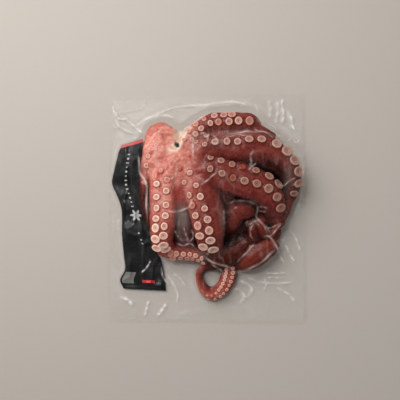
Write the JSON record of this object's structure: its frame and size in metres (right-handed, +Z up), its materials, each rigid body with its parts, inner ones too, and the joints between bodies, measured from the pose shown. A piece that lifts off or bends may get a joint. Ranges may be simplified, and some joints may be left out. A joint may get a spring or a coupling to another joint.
{
  "type": "whole octopus",
  "caption": "Whole boiled octopus, suckered side up with its arms folded in, sealed in a clear vacuum bag beside a crumpled black film label.",
  "frame": {"origin": "middle of the bag's outline, on the surface that the pack lies on", "axes": "+Z up through the suckered side, +Y along the bag towards the octopus's mouth, +X across the bag away from the label"},
  "size_m": [0.264, 0.304, 0.0457],
  "materials": {
    "octopus_flesh": "moist boiled skin, red-brown, with paler suckers",
    "sucker_flesh": "moist, cream-pink suckers",
    "clear_film": "clear glossy vacuum film with creases",
    "label_film": "black printed film, crumpled, satin",
    "label_print": "pale and red printed marks"
  },
  "bodies": {
    "root": {"octopus": "octopus_flesh", "label": "label_film", "film_bag": "clear_film"}
  },
  "joints": []
}
